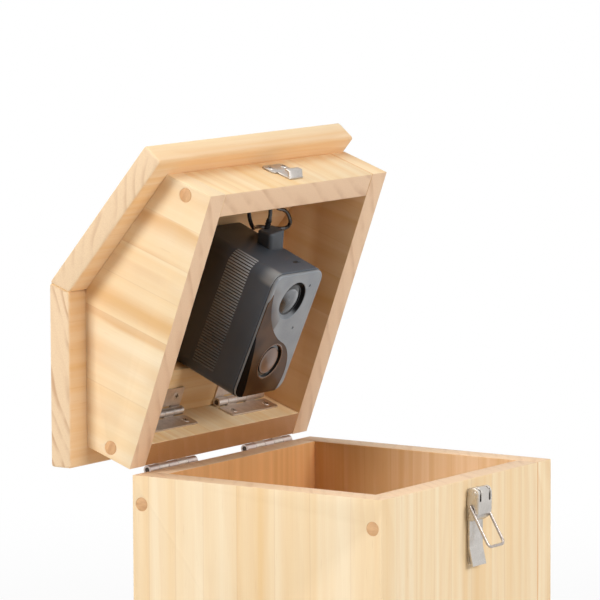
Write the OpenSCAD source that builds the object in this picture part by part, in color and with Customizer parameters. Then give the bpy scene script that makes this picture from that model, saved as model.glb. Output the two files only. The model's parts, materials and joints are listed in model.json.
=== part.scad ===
// Pine nest box with a gable-roofed lid hinged on its left side, shown with the lid open.
// Frame: origin at the centre of the box's underside, +X to the latch side, +Y to the back, +Z up.
// Parts of the lid are drawn in the lid's own frame, closed, with z = 0 on the lid's rim.

/* [Box] */
// Width of the box, over the side walls
box_w = 180; // [150:1:220]
// Depth of the box, over the front and back boards
box_d = 192; // [160:1:230]
// Height of the box without its lid
box_h = 240; // [220:1:300]
// Thickness of the side walls
side_t = 15; // [12:0.5:18]
// Thickness of the front, back and gable boards
end_t = 16; // [12:0.5:18]
// Thickness of the floor board
floor_t = 15; // [12:1:20]
// Diameter of the entrance hole
entrance_d = 32; // [26:1:45]
// Height of the entrance hole's centre
entrance_z = 150; // [130:1:160]

/* [Lid] */
// Outer height of the lid's side walls
lid_wall_h = 34; // [30:1:45]
// Pitch of both roof slopes, in degrees
pitch = 20; // [16:1:24]
// Thickness of the roof boards
roof_t = 15; // [12:0.5:18]
// Overhang of the roof in front of the box
front_overhang = 17; // [10:1:30]
// Overhang of the roof past each side wall
eave_overhang = 11; // [6:1:16]
// Gap between the two rims when the lid is closed
lid_gap = 0.5; // [0.5:0.1:1]
// How far the lid stands open, in degrees from closed
lid_open = 70; // [0:1:150]

/* [Wood plugs] */
// Diameter of the plugs over the sunk screws
plug_d = 8.5; // [6:0.5:10]
// Depth of the plugs
plug_depth = 6; // [4:0.5:8]
// Distance of the plugs from the side edges
plug_inset = 6.5; // [5:0.5:7]
// Distance of the first plugs from the rim
plug_drop = 17.5; // [14:0.5:24]

/* [Hinges] */
// Length of every butt hinge
hinge_len = 50; // [40:1:60]
// Reach of a leaf from the pin's axis to its free edge
leaf_reach = 15; // [13:0.5:18]
// Thickness of the leaves
leaf_t = 1.2; // [1:0.1:1.5]
// Radius of the knuckles
knuckle_r = 2.75; // [2.5:0.05:2.8]
// Radius of the pins
pin_r = 1.5; // [1.2:0.1:1.6]
// Distance of the lid hinges' centres from the middle of the box
hinge_y = 52; // [40:1:60]

/* [Toggle latch] */
// Place of the latch and its catch along the side wall
latch_y = 4.4; // [-20:0.1:20]
// Height of the lever's pin
latch_z = 232; // [228:1:234]
// Width of the lever over its flanges
lever_w = 15; // [14:0.2:20]
// Reach of the wire bail, from its pivot to the middle of its end
bail_reach = 27; // [25:0.5:28]
// Angle at which the bail hangs away from the wall, in degrees
bail_hang = 30; // [20:1:45]

/* [Camera] */
// Size of the camera unit across the box
cam_w = 85; // [78:1:86]
// Size of the camera unit from front to back of the box
cam_d = 53; // [50:1:60]
// Depth of the camera unit, from its face to its back
cam_h = 68; // [60:1:68]
// How far the camera's face stands out of the lid's rim
cam_proud = 15.5; // [15:0.1:20]
// Lean of the camera's back towards the latch side, in degrees
cam_lean = 3.6; // [2:0.1:4]

/* [Hidden] */
$fn = 48;

half_w = box_w / 2;
half_d = box_d / 2;
inner_x = half_w - side_t;
inner_y = half_d - end_t;
rim_z = box_h + lid_gap;
slope = tan(pitch);
ridge_z = lid_wall_h + half_w * slope;
side_top = lid_wall_h + side_t * slope;
// Distance from the pin of a lid hinge, and of a bracket, to the boards that it joins
pin_off = 3;
hinge_x = -half_w - pin_off;
hinge_z = box_h + lid_gap / 2;
// Knuckles of a butt hinge, and the play between them and round the pin
knuckles = 5;
knuckle_gap = 0.3;
bore_play = 0.05;
// Edge of a leaf's plate beside the knuckles, measured from the pin's axis
leaf_start = 3.3;
// Lap of each knuckle's strip over the plate
strip_lap = 2;
// Radius of the leaves' corners
leaf_corner = 1.5;

// Latch: distances out from the wall's face, and down from the lever's pin
lever_pin_out = 6.2;
bail_pin_out = 3.6;
bail_pin_drop = 8;
sheet_t = 1.2;
wire_r = 0.9;
latch_pin_r = 1.2;
// Play beside the lever: at the pin's ends and the bail's legs
side_play = 0.3;
// Base plate: it lies between the lever's flanges
base_w = lever_w - 2 * sheet_t - 0.4;
base_low = 188;
base_top = 234.5;
base_corner = 2;
// Ears that carry the pin: their foot below it, and where their lower edge meets their round
ear_y = 5.2;
ear_r = 2.3;
ear_foot = 7.5;
ear_touch = [1.4, 1.8];
// Slots over the lever's top that the ears turn in
slot_w = 2;
slot_low = 5;
slot_len = 12;
// Lever: its sheet's back edge and web, the arc over its top, and the finger tab
lever_back = 1.4;
flange_back = 0.6;
web_out = 9;
arc_r = (web_out - lever_back) / 2;
arc_drop = 0.4;
lever_drop = 17;
tab_straight = 33;
tab_drop = 44.8;
tab_flare = 2.5;
tab_lap = 1;
tab_skew = 0.2;
// Corners of the lever's channel: distance out from the wall, and down from the pin
lever_outside = [
    [lever_back, arc_drop], [web_out, arc_drop], [web_out - 0.2, 12], [web_out - 1.8, 15],
    [lever_back + 3.2, lever_drop], [flange_back + 0.6, lever_drop],
    [flange_back, lever_drop - 1.5], [flange_back, 3]
];
// Corners of the space inside its sheet, open to the wall
lever_inside = [
    [0, arc_drop], [web_out - sheet_t, arc_drop], [web_out - 0.2 - sheet_t, 11.7],
    [web_out - 2.7, 14.1], [lever_back + 2.9, lever_drop - sheet_t], [0, lever_drop - sheet_t]
];
// Bend of the bail's wire
bail_bend_r = 3;
// Catch plate, heights above the lid's rim
catch_low = 6.9;
catch_high = 27.5;
catch_ear_z = 17;
catch_ear_w = 22;
catch_corner = 3;
// Its hook: the slanted sheet leaves the wall and turns up into a lip
hook_w = 14;
hook_out = 5.2;
hook_rise = 2.3;
hook_lip = 3.4;
hook_root = 1.8;
hook_inside = 0.8;

// Shelf beside the camera, heights above the lid's rim
shelf_z = 29;
shelf_t = 10;
shelf_edge = -44.6;
bracket_front_y = -41.5;
bracket_rear_y = 46.5;

cam_x = -4.1;
cam_y = 1.6;
cam_corner = 8;
// Cut along the roof at the case's back, on the hinge side: its width and its depth
back_cut = [11.5, 5];
face_t = 2;
face_inset = 0.6;
window_t = 0.6;
// Motion sensor: centre on the camera's face, the recess's radii at the face and at its
// bottom on the case, and the sensor's own radius and rise
sensor_at = [22.8, 0.5];
recess_r = 13;
recess_bottom_r = 10.4;
sensor_r = 9.8;
sensor_h = 1.6;
// Lens: centre and radius
lens_at = [-19, -0.3];
lens_r = 12.3;
// Lens ring: how far it stands out of the window, and the depth and lip of its dish
lens_proud = 0.4;
lens_dish = 0.6;
lens_lip = 1;
// Window's outline: the round end about the lens, the hollow round the sensor that it
// runs into, its tip, and where it reaches the face's edge below the tip
window_end = [-29.8, -3.1];
window_end_r = 25;
window_hollow = [39.4, 26];
window_hollow_r = norm(window_hollow - window_end) - window_end_r;
window_tip = [29.6, -23.7];
window_heel = [23.5, -26];
// Foot behind the camera, up to the roof
mount_size = [28, 24, 30];

// Lead: radius, and the plug that it leaves, in the camera's frame
lead_r = 1.25;
plug_y = 12.4;
plug_z = 35.2;
plug_size = [10.5, 14.5, 11.5];
plug_corner = 2.5;
plug_sink = 6;
plug_lean = 12;
plug_turn = 10;
// Boot on the plug, and the grommet in the back gable, in the lid's frame
boot_r = 1.9;
boot_from = [49, 12.1, 21.8];
boot_len = 7.6;
grommet_at = [64, 34.5];
grommet_r = 5;
grommet_flange_r = 7;
grommet_flange_t = 1;
// Route of the lead in the lid's frame, from the boot to the grommet
lead_route = [
    [56.6, 12.1, 21.8], [60, 11.9, 22.3], [63.8, 10.8, 23], [67.6, 8.2, 23.6], [71, 4.3, 24],
    [72.4, -1.4, 24.3], [70.9, -6.6, 24.5], [66.6, -9.2, 24.8], [60.6, -7.7, 25.1],
    [54.9, -2.9, 25.6], [50.5, 2.7, 26.7], [47.5, 9, 29.2], [45.9, 15.4, 32.2],
    [44.9, 22.2, 34.3], [44.2, 29, 34.3], [44, 35, 32.2], [44, 40.5, 29.6], [45.5, 44.5, 27.4],
    [49, 44.8, 26.4], [52.6, 41.8, 26], [56.5, 37, 25.7], [59.2, 31.5, 25.5], [60.7, 25, 25.5],
    [63.2, 21.6, 25.5], [67, 21, 25.5], [70.3, 22.9, 25.5], [71.6, 26.5, 25.5],
    [71.4, 33, 25.8], [70.6, 42, 27.5], [68.6, 52, 30.5], [66, 62, 33], [64.4, 70, 34.3],
    [64, 76, 34.5], [64, 79, 34.5]
];
lead_steps = 2;
lead_sides = 8;

pine = "burlywood";
pine_dark = "peru";
steel = "silver";
plastic_dark = "dimgray";

// ---------------------------------------------------------------- shared shapes

// Runs a profile given in x and z along y, from y0 to y1
module along_y(y0, y1) {
    translate([0, y1, 0])
        rotate([90, 0, 0])
            linear_extrude(height = y1 - y0)
                children();
}

// Runs a profile given in y and z along x, from x0 to x1
module along_x(x0, x1) {
    translate([x0, 0, 0])
        rotate([90, 0, 90])
            linear_extrude(height = x1 - x0)
                children();
}

// Rectangle from corner a to corner b with rounded corners
module rounded_rect(a, b, r) {
    translate([a[0] + r, a[1]])
        square([b[0] - a[0] - 2 * r, b[1] - a[1]]);
    translate([a[0], a[1] + r])
        square([b[0] - a[0], b[1] - a[1] - 2 * r]);
    for (x = [a[0] + r, b[0] - r], y = [a[1] + r, b[1] - r])
        translate([x, y])
            circle(r = r);
}

// Turns what is drawn closed in the lid's frame to where the open lid stands
module on_lid() {
    translate([hinge_x, 0, hinge_z])
        rotate([0, -lid_open, 0])
            translate([-hinge_x, 0, rim_z - hinge_z])
                children();
}

// Camera's frame: origin at the middle of its face, z into the roof
module on_camera() {
    on_lid()
        translate([cam_x, cam_y, -cam_proud])
            rotate([0, cam_lean, 0])
                children();
}

// ---------------------------------------------------------------- box

function plug_rows() = [box_h - plug_drop, box_h / 2, plug_drop];

module wall_plug_shapes(depth) {
    for (s = [-1, 1], z = plug_rows())
        translate([s * (half_w - plug_inset), 0, z])
            rotate([90, 0, 0])
                cylinder(h = depth, d = plug_d);
}

module end_wall() {
    translate([-half_w, 0, 0])
        cube([box_w, end_t, box_h]);
}

module front_wall() {
    color(pine)
        translate([0, -half_d, 0])
            difference() {
                end_wall();
                translate([0, -1, entrance_z])
                    rotate([-90, 0, 0])
                        cylinder(h = end_t + 2, d = entrance_d);
                translate([0, plug_depth, 0])
                    wall_plug_shapes(plug_depth + 1);
            }
}

module back_wall() {
    color(pine)
        translate([0, inner_y, 0])
            difference() {
                end_wall();
                translate([0, end_t + 1, 0])
                    wall_plug_shapes(plug_depth + 1);
            }
}

module front_wall_plugs() {
    color(pine_dark)
        translate([0, plug_depth - half_d, 0])
            wall_plug_shapes(plug_depth);
}

module back_wall_plugs() {
    color(pine_dark)
        translate([0, half_d, 0])
            wall_plug_shapes(plug_depth);
}

module left_wall() {
    color(pine)
        translate([-half_w, -inner_y, 0])
            cube([side_t, 2 * inner_y, box_h]);
}

module right_wall() {
    color(pine)
        translate([inner_x, -inner_y, 0])
            cube([side_t, 2 * inner_y, box_h]);
}

module floor_board() {
    color(pine)
        translate([-inner_x, -inner_y, 0])
            cube([2 * inner_x, 2 * inner_y, floor_t]);
}

// ---------------------------------------------------------------- lid boards

module gable_outline() {
    polygon([
        [-half_w, 0], [half_w, 0], [half_w, lid_wall_h], [0, ridge_z], [-half_w, lid_wall_h]
    ]);
}

module lid_plug_shapes(depth) {
    for (s = [-1, 1])
        translate([s * (half_w - plug_inset), 0, plug_drop])
            rotate([90, 0, 0])
                cylinder(h = depth, d = plug_d);
}

module lid_front_gable() {
    color(pine)
        on_lid()
            difference() {
                along_y(-half_d, -inner_y)
                    gable_outline();
                translate([0, plug_depth - half_d, 0])
                    lid_plug_shapes(plug_depth + 1);
            }
}

module lid_back_gable() {
    color(pine)
        on_lid()
            difference() {
                along_y(inner_y, half_d)
                    gable_outline();
                translate([0, half_d + 1, 0])
                    lid_plug_shapes(plug_depth + 1);
                grommet_barrel();
            }
}

module lid_front_plugs() {
    color(pine_dark)
        on_lid()
            translate([0, plug_depth - half_d, 0])
                lid_plug_shapes(plug_depth);
}

module lid_back_plugs() {
    color(pine_dark)
        on_lid()
            translate([0, half_d, 0])
                lid_plug_shapes(plug_depth);
}

// Side wall of the lid on the side s, with its top cut to the slope
module lid_side_wall(s) {
    color(pine)
        on_lid()
            along_y(-inner_y, inner_y)
                polygon([
                    [s * half_w, 0], [s * inner_x, 0],
                    [s * inner_x, side_top], [s * half_w, lid_wall_h]
                ]);
}

module lid_left_wall() {
    lid_side_wall(-1);
}

module lid_right_wall() {
    lid_side_wall(1);
}

// Roof board on the side s: mitred at the ridge, cut square at the eave
module roof_board(s) {
    eave_x = half_w + eave_overhang;
    eave_z = lid_wall_h - eave_overhang * slope;
    color(pine)
        on_lid()
            along_y(-half_d - front_overhang, half_d)
                polygon([
                    [0, ridge_z],
                    [s * eave_x, eave_z],
                    [s * (eave_x + roof_t * sin(pitch)), eave_z + roof_t * cos(pitch)],
                    [0, ridge_z + roof_t / cos(pitch)]
                ]);
}

module left_roof_board() {
    roof_board(-1);
}

module right_roof_board() {
    roof_board(1);
}

module camera_shelf() {
    color(pine)
        on_lid()
            translate([-inner_x, -inner_y, shelf_z])
                cube([shelf_edge + inner_x, 2 * inner_y, shelf_t]);
}

// ---------------------------------------------------------------- butt hinges

// Leaf of a butt hinge with its pin along y through the origin. It lies against the
// plane x = pin_off and reaches down; own is 0 for the leaf with the end knuckles.
module leaf(own) {
    pitch_y = hinge_len / knuckles;
    difference() {
        union() {
            along_x(pin_off - leaf_t, pin_off)
                rounded_rect([-hinge_len / 2, -leaf_reach], [hinge_len / 2, -leaf_start], leaf_corner);
            for (k = [own : 2 : knuckles - 1])
                translate([0, -hinge_len / 2 + k * pitch_y + knuckle_gap / 2, 0]) {
                    rotate([-90, 0, 0])
                        cylinder(h = pitch_y - knuckle_gap, r = knuckle_r);
                    translate([pin_off - leaf_t, 0, -leaf_start - strip_lap])
                        cube([leaf_t, pitch_y - knuckle_gap, leaf_start + strip_lap]);
                }
        }
        translate([0, -hinge_len / 2 - 1, 0])
            rotate([-90, 0, 0])
                cylinder(h = hinge_len + 2, r = pin_r + bore_play);
    }
}

module hinge_pin() {
    translate([0, -hinge_len / 2, 0])
        rotate([-90, 0, 0])
            cylinder(h = hinge_len, r = pin_r);
}

// Leaf against the outer face of the box's left wall
module box_leaf(y) {
    color(steel)
        translate([hinge_x, y, hinge_z])
            leaf(0);
}

// Leaf against the outer face of the lid's left wall
module lid_leaf(y) {
    color(steel)
        on_lid()
            translate([hinge_x, y, hinge_z - rim_z])
                mirror([0, 0, 1])
                    leaf(1);
}

module lid_hinge_pin(y) {
    color(steel)
        translate([hinge_x, y, hinge_z])
            hinge_pin();
}

module front_hinge_box_leaf() {
    box_leaf(-hinge_y);
}

module rear_hinge_box_leaf() {
    box_leaf(hinge_y);
}

module front_hinge_lid_leaf() {
    lid_leaf(-hinge_y);
}

module rear_hinge_lid_leaf() {
    lid_leaf(hinge_y);
}

module front_hinge_pin() {
    lid_hinge_pin(-hinge_y);
}

module rear_hinge_pin() {
    lid_hinge_pin(hinge_y);
}

// Place of an inner bracket: a butt hinge folded square in the corner of wall and shelf
module at_bracket(y) {
    on_lid()
        translate([pin_off - inner_x, y, shelf_z - pin_off])
            children();
}

module bracket_wall_leaf(y) {
    color(steel)
        at_bracket(y)
            mirror([1, 0, 0])
                leaf(1);
}

module bracket_shelf_leaf(y) {
    color(steel)
        at_bracket(y)
            rotate([0, -90, 0])
                leaf(0);
}

module bracket_pin(y) {
    color(steel)
        at_bracket(y)
            hinge_pin();
}

module front_bracket_wall_leaf() {
    bracket_wall_leaf(bracket_front_y);
}

module front_bracket_shelf_leaf() {
    bracket_shelf_leaf(bracket_front_y);
}

module front_bracket_pin() {
    bracket_pin(bracket_front_y);
}

module rear_bracket_wall_leaf() {
    bracket_wall_leaf(bracket_rear_y);
}

module rear_bracket_shelf_leaf() {
    bracket_shelf_leaf(bracket_rear_y);
}

module rear_bracket_pin() {
    bracket_pin(bracket_rear_y);
}

// ---------------------------------------------------------------- toggle latch

// Latch's frame: x out of the wall's face, y along the wall, z up from the box's base
module on_latch() {
    translate([half_w, latch_y, 0])
        children();
}

// Corner lists hold distances down from the lever's pin; this gives their heights
function hung(corners) = [for (c = corners) [c[0], latch_z - c[1]]];

// Side view of a bearing ear, in x and z
module ear_outline() {
    difference() {
        union() {
            polygon(hung([
                [0, ear_foot], [lever_pin_out + ear_touch[0], ear_touch[1]],
                [lever_pin_out, -ear_r], [0, -ear_r]
            ]));
            translate([lever_pin_out, latch_z])
                circle(r = ear_r);
        }
        translate([lever_pin_out, latch_z])
            circle(r = latch_pin_r + bore_play);
    }
}

module latch_base() {
    color(steel)
        on_latch() {
            along_x(0, sheet_t)
                rounded_rect([-base_w / 2, base_low], [base_w / 2, base_top], base_corner);
            for (s = [-1, 1])
                along_y(s * ear_y - sheet_t / 2, s * ear_y + sheet_t / 2)
                    ear_outline();
        }
}

module latch_pin() {
    pin_end = lever_w / 2 + side_play;
    color(steel)
        on_latch()
            translate([lever_pin_out, -pin_end, latch_z])
                rotate([-90, 0, 0])
                    cylinder(h = 2 * pin_end, r = latch_pin_r);
}

// Side view of the lever's channel, in x and z, as a solid
module lever_side() {
    translate([web_out - arc_r, latch_z - arc_drop])
        circle(r = arc_r);
    polygon(hung(lever_outside));
}

// The same view of the space inside its sheet, open to the wall
module lever_hollow() {
    translate([web_out - arc_r, latch_z - arc_drop])
        circle(r = arc_r - sheet_t);
    polygon(hung(lever_inside));
}

// Bore through both flanges of the lever, at a distance out from the wall and a height
module lever_bore(out, z, r) {
    translate([out, -lever_w / 2 - 1, z])
        rotate([-90, 0, 0])
            cylinder(h = lever_w + 2, r = r + bore_play);
}

module latch_lever() {
    flange = lever_w / 2;
    color(steel)
        on_latch() {
            difference() {
                along_y(-flange, flange)
                    lever_side();
                along_y(-flange + sheet_t, flange - sheet_t)
                    lever_hollow();
                // Slots that the base's ears turn in
                for (s = [-1, 1])
                    translate([0, s * ear_y - slot_w / 2, latch_z - slot_low])
                        cube([web_out + 1, slot_w, slot_len]);
                // Clearance over the base plate
                translate([0, sheet_t - flange, latch_z - lever_drop - 1])
                    cube([lever_back, 2 * (flange - sheet_t), lever_drop + 1]);
                lever_bore(lever_pin_out, latch_z, latch_pin_r);
                lever_bore(bail_pin_out, latch_z - bail_pin_drop, wire_r);
            }
            // Finger tab that lies on the base and turns outwards at its tip
            along_y(-flange, flange)
                polygon(hung([
                    [lever_back, lever_drop - tab_lap], [lever_back + sheet_t, lever_drop - tab_lap],
                    [lever_back + sheet_t, tab_straight],
                    [lever_back + sheet_t + tab_flare, tab_drop - tab_skew],
                    [lever_back + tab_flare, tab_drop],
                    [lever_back, tab_straight + tab_skew]
                ]));
        }
}

// Wire bail: drawn hanging straight down from its pivot, then swung out
module latch_bail() {
    leg_y = lever_w / 2 + wire_r + side_play;
    bend_r = bail_bend_r;
    inner_end = lever_w / 2 - sheet_t - 2 * side_play;
    color(steel)
        on_latch()
            translate([bail_pin_out, 0, latch_z - bail_pin_drop])
                rotate([0, -bail_hang, 0])
                    for (s = [-1, 1]) {
                        translate([0, s * leg_y, 0])
                            sphere(r = wire_r);
                        translate([0, s * leg_y, bend_r - bail_reach])
                            cylinder(h = bail_reach - bend_r, r = wire_r);
                        translate([0, s > 0 ? inner_end : -leg_y, 0])
                            rotate([-90, 0, 0])
                                cylinder(h = leg_y - inner_end, r = wire_r);
                        translate([0, s * (leg_y - bend_r), bend_r - bail_reach])
                            rotate([90, 0, 90])
                                rotate([0, 0, s > 0 ? -90 : 180])
                                    rotate_extrude(angle = 90)
                                        translate([bend_r, 0])
                                            circle(r = wire_r);
                        translate([0, s > 0 ? 0 : bend_r - leg_y, -bail_reach])
                            rotate([-90, 0, 0])
                                cylinder(h = leg_y - bend_r, r = wire_r);
                    }
}

// Catch plate: screwed on by its ears, with a hook that leans towards the roof
module catch_plate() {
    color(steel)
        on_lid()
            translate([half_w, latch_y, 0]) {
                along_x(0, sheet_t) {
                    translate([-hook_w / 2, catch_low])
                        square([hook_w, catch_ear_z + catch_corner - catch_low]);
                    rounded_rect(
                        [-catch_ear_w / 2, catch_ear_z], [catch_ear_w / 2, catch_high], catch_corner
                    );
                }
                along_y(-hook_w / 2, hook_w / 2)
                    polygon([
                        [0, catch_low], [hook_out, catch_low + hook_rise],
                        [hook_out, catch_low + hook_rise + hook_lip],
                        [hook_out - sheet_t, catch_low + hook_rise + hook_lip],
                        [hook_out - sheet_t, catch_low + hook_rise + hook_inside],
                        [sheet_t, catch_low + hook_root], [0, catch_low + hook_root]
                    ]);
            }
}

// ---------------------------------------------------------------- camera and its lead

// Outline of the camera unit, seen from its face, less an inset
module camera_outline(inset) {
    half = [cam_w / 2 - inset, cam_d / 2 - inset];
    rounded_rect(-half, half, cam_corner - inset);
}

module camera_body() {
    low_x = -cam_w / 2;
    difference() {
        translate([0, 0, face_t])
            linear_extrude(height = cam_h - face_t)
                camera_outline(0);
        along_y(-cam_d, cam_d)
            polygon([
                [low_x - back_cut[0], cam_h - 2 * back_cut[1]],
                [low_x + 2 * back_cut[0], cam_h + back_cut[1]],
                [low_x - back_cut[0], cam_h + back_cut[1]]
            ]);
    }
}

module camera_case() {
    color(plastic_dark)
        on_camera()
            camera_body();
}

// Dark window of the face: a round end about the lens, drawn out beside the motion sensor
module window_outline() {
    side_y = -cam_d / 2;
    intersection() {
        camera_outline(face_inset);
        union() {
            translate(window_end)
                circle(r = window_end_r);
            difference() {
                polygon([
                    window_end, window_hollow, window_tip, window_heel,
                    [window_heel[0], side_y], [-cam_w / 2, side_y]
                ]);
                translate(window_hollow)
                    circle(r = window_hollow_r);
            }
        }
    }
}

module camera_face() {
    color("darkgray")
        on_camera()
            difference() {
                linear_extrude(height = face_t)
                    camera_outline(face_inset);
                translate([0, 0, -1])
                    linear_extrude(height = window_t + 1)
                        window_outline();
                translate([sensor_at[0], sensor_at[1], 0])
                    cylinder(h = face_t, r1 = recess_r, r2 = recess_bottom_r);
            }
}

module camera_window() {
    color("saddlebrown")
        on_camera()
            difference() {
                linear_extrude(height = window_t)
                    window_outline();
                translate([lens_at[0], lens_at[1], -1])
                    cylinder(h = 3, r = lens_r);
            }
}

// Domed cover of the motion sensor: a cap of a sphere at the bottom of its recess
module motion_sensor() {
    cap_r = (sensor_r * sensor_r + sensor_h * sensor_h) / (2 * sensor_h);
    color("lightgray")
        on_camera()
            translate([sensor_at[0], sensor_at[1], face_t])
                difference() {
                    translate([0, 0, cap_r - sensor_h])
                        sphere(r = cap_r);
                    translate([-2 * cap_r, -2 * cap_r, 0])
                        cube([4 * cap_r, 4 * cap_r, 3 * cap_r]);
                }
}

module camera_lens() {
    color("black")
        on_camera()
            translate([lens_at[0], lens_at[1], -lens_proud])
                difference() {
                    cylinder(h = window_t + lens_proud, r = lens_r);
                    translate([0, 0, -1])
                        cylinder(h = lens_dish + 1, r1 = lens_r - lens_lip, r2 = lens_r / 2);
                }
}

// Foot between the camera's back and the two slopes
module camera_mount() {
    color("black")
        intersection() {
            on_camera()
                translate([-mount_size[0] / 2, -mount_size[1] / 2, cam_h])
                    cube(mount_size);
            on_lid()
                along_y(-inner_y, inner_y)
                    gable_outline();
        }
}

// Plug pushed into the camera's side, leaning into the roof, with the lead's boot on it
module lead_plug() {
    color(plastic_dark)
        difference() {
            union() {
                on_camera()
                    translate([cam_w / 2, plug_y, plug_z])
                        rotate([0, -plug_lean, -plug_turn])
                            along_x(-plug_sink, plug_size[0])
                                rounded_rect(
                                    [-plug_size[1] / 2, -plug_size[2] / 2],
                                    [plug_size[1] / 2, plug_size[2] / 2], plug_corner
                                );
                on_lid()
                    translate(boot_from)
                        rotate([0, 90, 0])
                            cylinder(h = boot_len, r = boot_r);
            }
            on_camera()
                camera_body();
        }
}

module grommet_barrel() {
    translate([grommet_at[0], inner_y - 1, grommet_at[1]])
        rotate([-90, 0, 0])
            cylinder(h = end_t + 2, r = grommet_r);
}

module lead_grommet() {
    color("black")
        on_lid()
            translate([grommet_at[0], 0, grommet_at[1]])
                rotate([-90, 0, 0]) {
                    translate([0, 0, inner_y])
                        cylinder(h = end_t, r = grommet_r);
                    for (y = [inner_y - grommet_flange_t, half_d])
                        translate([0, 0, y])
                            cylinder(h = grommet_flange_t, r = grommet_flange_r);
                }
}

// Smooth curve through the route's points
function at(p, i) = p[max(0, min(len(p) - 1, i))];
function curve_point(a, b, c, d, t) =
    b + t / 2 * (c - a + t * (2 * a - 5 * b + 4 * c - d + t * (3 * b - a - 3 * c + d)));
function smooth(p, n) = concat(
    [for (i = [0 : len(p) - 2], k = [0 : n - 1])
        curve_point(at(p, i - 1), p[i], p[i + 1], at(p, i + 2), k / n)],
    [p[len(p) - 1]]
);
function unit(v) = v / norm(v);
function tangent(p, i) = unit(at(p, i + 1) - at(p, i - 1));
function ring(p, i, r, n) =
    let (t = tangent(p, i), u = unit(cross(t, [0, 0, 1])), v = cross(u, t))
        [for (k = [0 : n - 1]) p[i] + r * (cos(360 * k / n) * u + sin(360 * k / n) * v)];

module tube(p, r, n) {
    rings = len(p);
    points = [for (i = [0 : rings - 1]) each ring(p, i, r, n)];
    sides = [for (i = [0 : rings - 2], k = [0 : n - 1])
        [i * n + k, i * n + (k + 1) % n, (i + 1) * n + (k + 1) % n, (i + 1) * n + k]];
    first = [for (k = [n - 1 : -1 : 0]) k];
    last = [for (k = [0 : n - 1]) (rings - 1) * n + k];
    polyhedron(points = points, faces = concat(sides, [first, last]));
}

module camera_lead() {
    color("black")
        on_lid()
            tube(smooth(lead_route, lead_steps), lead_r, lead_sides);
}

// ---------------------------------------------------------------- assembly

front_wall();
back_wall();
left_wall();
right_wall();
floor_board();
front_wall_plugs();
back_wall_plugs();
front_hinge_box_leaf();
rear_hinge_box_leaf();
front_hinge_pin();
rear_hinge_pin();
latch_base();
latch_pin();
latch_lever();
latch_bail();
lid_front_gable();
lid_back_gable();
lid_left_wall();
lid_right_wall();
left_roof_board();
right_roof_board();
lid_front_plugs();
lid_back_plugs();
front_hinge_lid_leaf();
rear_hinge_lid_leaf();
catch_plate();
camera_shelf();
front_bracket_wall_leaf();
front_bracket_shelf_leaf();
front_bracket_pin();
rear_bracket_wall_leaf();
rear_bracket_shelf_leaf();
rear_bracket_pin();
camera_case();
camera_face();
camera_window();
motion_sensor();
camera_lens();
camera_mount();
lead_plug();
camera_lead();
lead_grommet();
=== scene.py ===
"""Looks of a pine nest box with its lid open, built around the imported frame.

Every shape is made in millimetres in one of a few local frames (box, closed lid,
camera unit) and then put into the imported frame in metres.
"""

import json
import math

import bmesh
import bpy
from mathutils import Matrix, Vector


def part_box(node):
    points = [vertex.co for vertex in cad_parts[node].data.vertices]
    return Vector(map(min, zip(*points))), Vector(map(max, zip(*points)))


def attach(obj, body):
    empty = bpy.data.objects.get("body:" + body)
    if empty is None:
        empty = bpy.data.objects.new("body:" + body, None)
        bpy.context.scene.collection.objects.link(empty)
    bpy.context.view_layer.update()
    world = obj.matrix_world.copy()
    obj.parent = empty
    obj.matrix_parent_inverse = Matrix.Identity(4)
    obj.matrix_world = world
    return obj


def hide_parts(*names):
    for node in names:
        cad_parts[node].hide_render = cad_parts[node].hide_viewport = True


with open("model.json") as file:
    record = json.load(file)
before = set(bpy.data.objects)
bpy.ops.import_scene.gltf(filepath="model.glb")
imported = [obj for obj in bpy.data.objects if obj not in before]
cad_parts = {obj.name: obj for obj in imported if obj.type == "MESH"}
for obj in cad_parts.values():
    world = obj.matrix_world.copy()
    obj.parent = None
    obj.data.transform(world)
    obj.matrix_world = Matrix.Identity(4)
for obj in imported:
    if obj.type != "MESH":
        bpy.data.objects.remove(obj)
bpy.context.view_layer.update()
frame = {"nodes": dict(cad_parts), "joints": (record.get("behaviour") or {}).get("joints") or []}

# ---- driving dimensions
MM = 0.001
NODES = frame["nodes"]
JOINTS = {joint["name"]: joint for joint in frame["joints"]}


def box_mm(node):
    """Lowest and highest corner of a CAD node, in millimetres."""
    return tuple(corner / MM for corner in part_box(node))


WALL_LOW, WALL_HIGH = box_mm("front_wall")
HALF_W = WALL_HIGH.x
HALF_D = -WALL_LOW.y
END_T = WALL_HIGH.y - WALL_LOW.y
SIDE_T = HALF_W - box_mm("right_wall")[0].x
INNER_X = HALF_W - SIDE_T
INNER_Y = HALF_D - END_T
BOX_H = WALL_HIGH.z
HINGE = Vector(JOINTS["lid_hinge"]["pos_m"]) / MM
LID_OPEN = -JOINTS["lid_hinge"]["range_deg"][0]
RIM_Z = 2 * HINGE.z - BOX_H
LATCH_PIN = Vector(JOINTS["latch_lever"]["pos_m"]) / MM
BAIL_PIN = Vector(JOINTS["latch_bail"]["pos_m"]) / MM


def turn_y(degrees):
    return Matrix.Rotation(math.radians(degrees), 4, "Y")


# Local frames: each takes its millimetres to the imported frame's metres
BOX = Matrix.Scale(MM, 4)
LID = (
    BOX
    @ Matrix.Translation(HINGE)
    @ turn_y(-LID_OPEN)
    @ Matrix.Translation((-HINGE.x, -HINGE.y, RIM_Z - HINGE.z))
)
CAMERA_AT = (-4.1, 1.6, -15.5)
CAMERA_LEAN = 3.6
CAMERA = LID @ Matrix.Translation(CAMERA_AT) @ turn_y(CAMERA_LEAN)

# ---- camera of the scene
VIEW_FROM = (1.54258, -2.32759, 0.66861)
VIEW_YAW = 34.077
VIEW_DOWN = 6.653
VIEW_ROLL = -0.237
VIEW_LENS = 276.73


def into_scene(name, data):
    made = bpy.data.objects.new(name, data)
    bpy.context.scene.collection.objects.link(made)
    return made


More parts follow.
